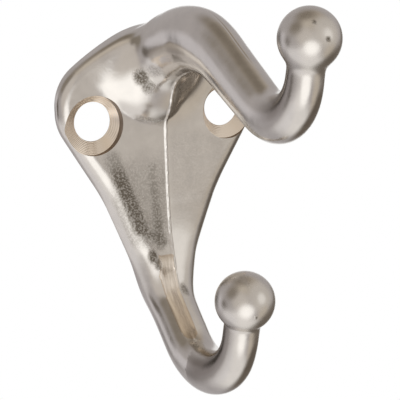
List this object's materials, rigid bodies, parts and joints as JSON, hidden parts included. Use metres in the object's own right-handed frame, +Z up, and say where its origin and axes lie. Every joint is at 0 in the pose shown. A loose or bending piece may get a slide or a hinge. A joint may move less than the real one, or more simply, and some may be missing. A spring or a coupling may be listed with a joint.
{
  "type": "double robe hook",
  "caption": "Cast double robe hook: a drop-shaped wall plate carries a long upper prong and a short lower one, each ending in a ball.",
  "frame": {"origin": "on the wall plane, midway between the centres of the two screw holes", "axes": "+Z up, +Y into the wall, so the prongs reach towards -Y; the hook is symmetric about X = 0"},
  "size_m": [0.0312, 0.0461, 0.0561],
  "materials": {
    "satin_nickel": "satin"
  },
  "bodies": {
    "root": {"robe_hook": "satin_nickel"}
  },
  "joints": []
}
